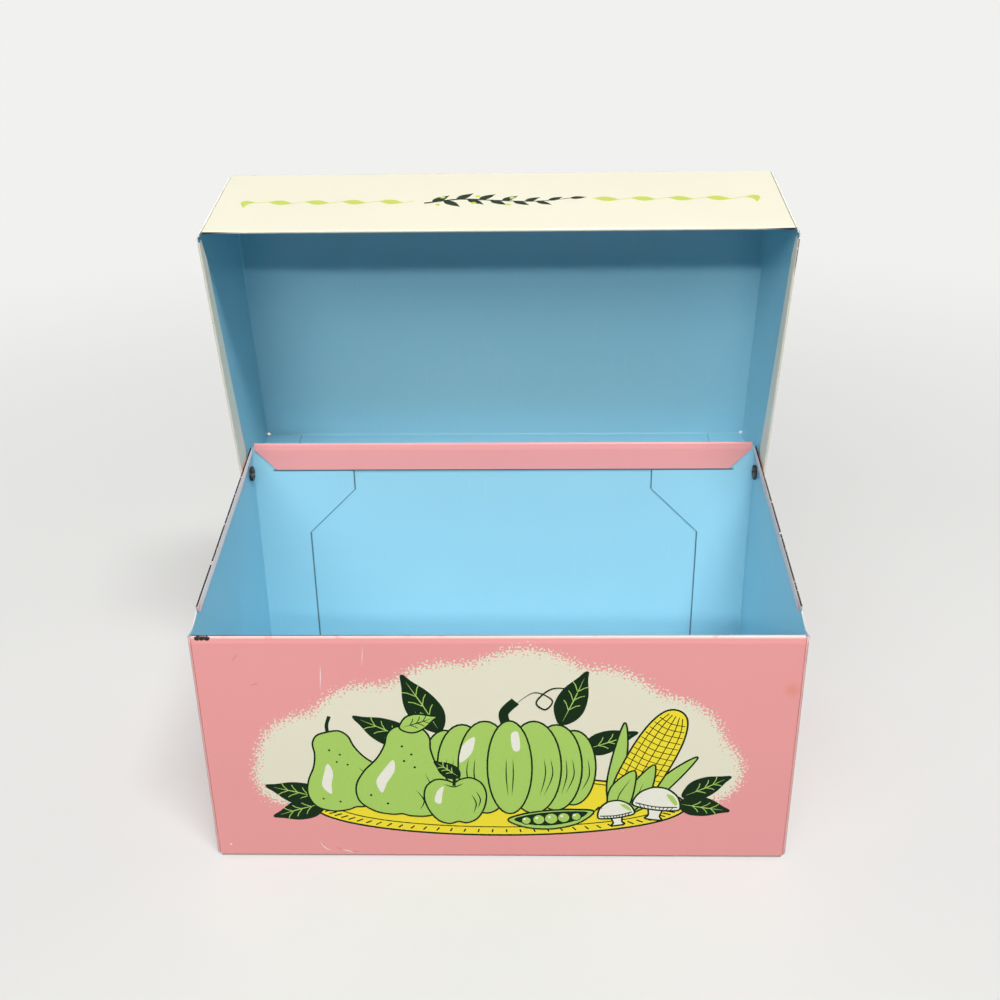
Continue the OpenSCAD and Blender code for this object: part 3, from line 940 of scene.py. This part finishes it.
# %% Ribbons
FACES, STEPS = 4, 24  # faces of a ribbon, and points to each of them
TWIST = 8.75  # mm from one face of the ribbon to the next
FACE = 2.7  # mm, width of the ribbon's face
EDGE = 0.26  # mm, width of the ribbon seen edge on
SWAY = 0.42  # mm that its middle line sways up and down
FACE_SHARE = 0.7  # share of a twist that shows the face
TIP = [(-0.4, 0.14), (0.6, 0.3), (1.3, 0.8), (2.1, 1.2), (3.1, 1.3), (3.8, 0.8), (4.0, -0.2),
       (3.6, -1.3), (2.9, -2.8), (2.5, -1.6), (2.0, -0.7), (1.3, -0.2), (0.6, -0.05), (-0.4, -0.12)]


def ribbon(first, level, tip_way):
    """A ribbon, its first face centred at a place, its folded tip to the left or the right."""
    points, widths = [], []
    for i in range(FACES * STEPS + 1):
        turn = i / STEPS
        phase = turn % 1 if turn < FACES else 1
        part = min(1, phase / FACE_SHARE)
        gap = max(0, (phase - FACE_SHARE) / (1 - FACE_SHARE))
        sway = math.cos(math.pi * part) if phase < FACE_SHARE else -math.cos(math.pi * gap)
        points.append((first + (turn - FACE_SHARE / 2) * TWIST, level + SWAY * sway))
        widths.append(EDGE + (FACE - EDGE) * math.sin(math.pi * part) ** 1.4)
    line("leaf", points, widths)
    root = first - 0.62 * TWIST if tip_way < 0 else points[-1][0] + 0.3
    if tip_way < 0:
        line("leaf", [(root, level + 0.05), (first - 0.35 * TWIST, level + SWAY)], EDGE)
    tip = [(root + tip_way * x, level + SWAY * (tip_way > 0) + z) for x, z in TIP]
    fill("leaf", smooth(tip, steps=4))


lid_inks = {
    "leaf": printing_ink("yellow_green_litho_ink", "#c0cf5a"),
    "dark": inks["dark"],
}
ribbon(-51.7, 76.6, -1)
ribbon(25.5, 77.4, 1)

# %% Sprig
stem = smooth([(-17.5, 75.6), (-9, 77.9), (0, 76.9), (9, 76.3), (17.5, 78.2)], False, 10)
line("dark", stem, [0.75 - 0.45 * i / (len(stem) - 1) for i in range(len(stem))])
for i in range(11):
    foot, side = stem[3 + 3 * i], 1 - 2 * (i % 2)
    length = 5.6 - 0.16 * i
    fill("dark", placed(smooth(LEAF), foot, (length * 0.95, length), -90 + side * (46 - 1.5 * i)))
fill("dark", placed(smooth(LEAF), stem[-2], (3.6, 4.0), -82))
for i in (5, 14, 23):
    for side, out in ((-1, 2.2), (1, 2.0)):
        foot = stem[i + (side > 0)]
        fill("leaf", oval(foot.x - 0.4, foot.y + side * out, 0.62, 0.62, sides=16))
lid_wall = opening @ Matrix.Translation((0, lid_low.y, 0)) @ Matrix.Rotation(math.pi / 2, 4, "X")
press("lid_print", lid_inks, lid_wall, "lid")

# %% [markdown]
# ## Scratches and grime
#
# A nail or two left pale lines in the enamel, and dirt sits in a few short dents. They are sharp,
# few and apart, so each is a small film of its own: pale primer for a scratch, brownish pink for
# dirt. A noise texture would scatter such marks everywhere at once.

# %% Scratches
damage_inks = {
    "scratches": printing_ink("pale_primer", "#ffece6"),
    "grime_and_shade": printing_ink("brown_grime_and_shade", "#db8f8c"),
}
for width, steps, points in ((0.2, 1, [(-38.5, 53.7), (-38.7, 50.5), (-39.0, 47.1)]),
                             (0.13, 1, [(-29.0, 58.6), (-29.2, 56.0), (-29.5, 53.2)]),
                             (0.2, 6, [(-42.2, 4.4), (-41.2, 2.6), (-39.8, 1.8)]),
                             (0.22, 6, [(-37.2, 1.9), (-35.8, 1.7), (-34.6, 1.0)])):
    line("scratches", smooth(points, False, steps), width, taper=True)
fill("scratches", oval(-63.4, 3.6, 0.3, 0.22, 20, 9))

# %% Grime
DENTS = ((-57.0, 55.6, 1.1, 50), (-53.4, 48.6, 0.9, 20), (-37.9, 2.4, 0.8, -35),
         (-33.9, 1.5, 0.9, 10), (-41.5, 3.6, 0.5, -60))  # mm across, up and long, and degrees
for x, z, size, turn in DENTS:
    fill("grime_and_shade", oval(x, z, size, 0.11, turn, 10))
press("front_damage", damage_inks, body_wall, "body")

# %% [markdown]
# ## Camera
#
# The photograph looks down at the open box from the front, about 26 degrees, with a normal lens a
# good quarter of a metre away. A camera can be aimed by a constraint, but its place and angles are
# typed here, since they were worked out together from the corners of the box in the photograph.

# %% Place the camera
LENS, SENSOR = 43.713, 36  # mm
CAMERA_AT = Vector((6.703, -259.534, 199.611)) * MM
PITCH, YAW, ROLL = (math.radians(a) for a in (25.568, -1.439, -0.774))
camera_data = bpy.data.cameras.new("camera")
camera_data.sensor_width = SENSOR
camera_data.lens = LENS
camera_data.clip_start = 0.01
camera = into_scene("camera", camera_data, Matrix.Translation(CAMERA_AT)
                    @ Matrix.Rotation(-YAW, 4, "Z") @ Matrix.Rotation(math.pi / 2 - PITCH, 4, "X")
                    @ Matrix.Rotation(ROLL, 4, "Z"))
bpy.context.scene.camera = camera
print("camera", round(CAMERA_AT.length, 3), "m from the middle of the foot, lens", LENS, "mm")

# %% [markdown]
# ## Floor and backdrop
#
# The box stands on pale paper that catches its shadow. To the eye, and in gloss, the paper and the
# studio behind it are near white, but as a source of light they are dim: a white room would flood
# the open box and wash out its shadows. The Light Path node tells the two apart, so the background
# can be pale without a brighter lamp on the box.

# %% Floor
REACH = 6.0  # m from the middle to the floor's edges
WHITE, PAPER, PAPER_AS_LIGHT = "#f1f1ef", "#dcdcda", "#55565a"


def rays_that_see(tree):
    """1 for the rays that show a background: to the camera, in gloss and through glass."""
    rays = add(tree, "LightPath").outputs
    return either(rays["Is Camera Ray"], rays["Is Glossy Ray"], rays["Is Transmission Ray"])


floor_mesh = bpy.data.meshes.new("floor")
floor_mesh.from_pydata([(-REACH, -REACH, 0), (REACH, -REACH, 0), (REACH, REACH, 0),
                        (-REACH, REACH, 0)], [], [(0, 1, 2, 3)])
floor = into_scene("floor", floor_mesh)
paper = bpy.data.materials.new("pale_paper")
tree = empty_tree(paper)
seen = rays_that_see(tree)
matt = add(tree, "BsdfDiffuse", {"Color": over(PAPER_AS_LIGHT, seen, PAPER)})
plain = add(tree, "Emission", {"Color": linear(WHITE), "Strength": 1.0})
here = add(tree, "TexCoord").outputs["Object"]
away = add(tree, "VectorMath", {"Vector": here}, operation="LENGTH").outputs["Value"]
share = add(tree, "Math", {"Value": ramp(away, 0.12, 0.6), "Value_001": 0.7,
                           "Value_002": 0.3}, operation="MULTIPLY_ADD")
mixed = add(tree, "MixShader", {"Fac": times(seen, share), "Shader": matt,
                                "Shader_001": plain})
add(tree, "OutputMaterial", {"Surface": mixed})
floor_mesh.materials.append(paper)
print("floor", 2 * REACH, "m wide")

# %% Backdrop
AMBIENT = 0.03  # strength of the studio's own light on the box
world = bpy.data.worlds.new("studio")
bpy.context.scene.world = world
tree = empty_tree(world)
way = add(tree, "SeparateXYZ", {"Vector": add(tree, "TexCoord").outputs["Generated"]})
backdrop = slope(way.outputs["Z"], 0.2, 0.7, 1.0, 0.35)
strength = slope(rays_that_see(tree), 0.0, 1.0, AMBIENT, backdrop)
sky = add(tree, "Background", {"Color": linear(WHITE), "Strength": strength})
add(tree, "OutputWorld", {"Surface": sky})
print("ambient strength", AMBIENT)


# %% [markdown]
# ## Lamps
#
# A long thin lamp from the front and a little to the left throws the shadow of the lid's rim on
# its inside, with a sharp lower edge. The window lamp, higher and from the right, does most of the
# lighting, and a wide one from the left front softens what these leave dark. Two more stand low
# behind the box, for its back and sides. One sun would be simpler, but its hard shadows would hide
# half of the inside.

# %% Place the lamps
AIM = Vector((0, 0, 0.07))  # m, middle of the box, where every lamp looks


def lamp(name, width, height, watts, distance, azimuth, elevation):
    """A soft lamp of a size in m, its azimuth counted from the front towards the right."""
    data = bpy.data.lights.new(name, "AREA")
    data.shape = "RECTANGLE"
    data.size = width
    data.size_y = height
    data.energy = watts
    a, e = math.radians(azimuth), math.radians(elevation)
    to_lamp = Vector((math.sin(a) * math.cos(e), -math.cos(a) * math.cos(e), math.sin(e)))
    spot = AIM + distance * to_lamp
    turned = (spot - AIM).to_track_quat("Z", "Y").to_matrix().to_4x4()
    into_scene(name, data, Matrix.Translation(spot) @ turned)
    print(name, watts, "W at", [round(c, 2) for c in spot])


lamp("key", 1.2, 0.05, 10.6, 2.0, -10, 27.7)
lamp("window", 0.5, 0.15, 12.2, 1.3, 24, 60)
lamp("fill", 1.5, 0.4, 6.9, 1.3, -18, 38)
lamp("back_left", 1.4, 0.6, 7.0, 1.3, -124, 13)
lamp("back_right", 1.4, 0.6, 7.0, 1.3, 124, 13)

bpy.context.scene.view_settings.view_transform = "Standard"

# %% Update the scene
bpy.context.view_layer.update()
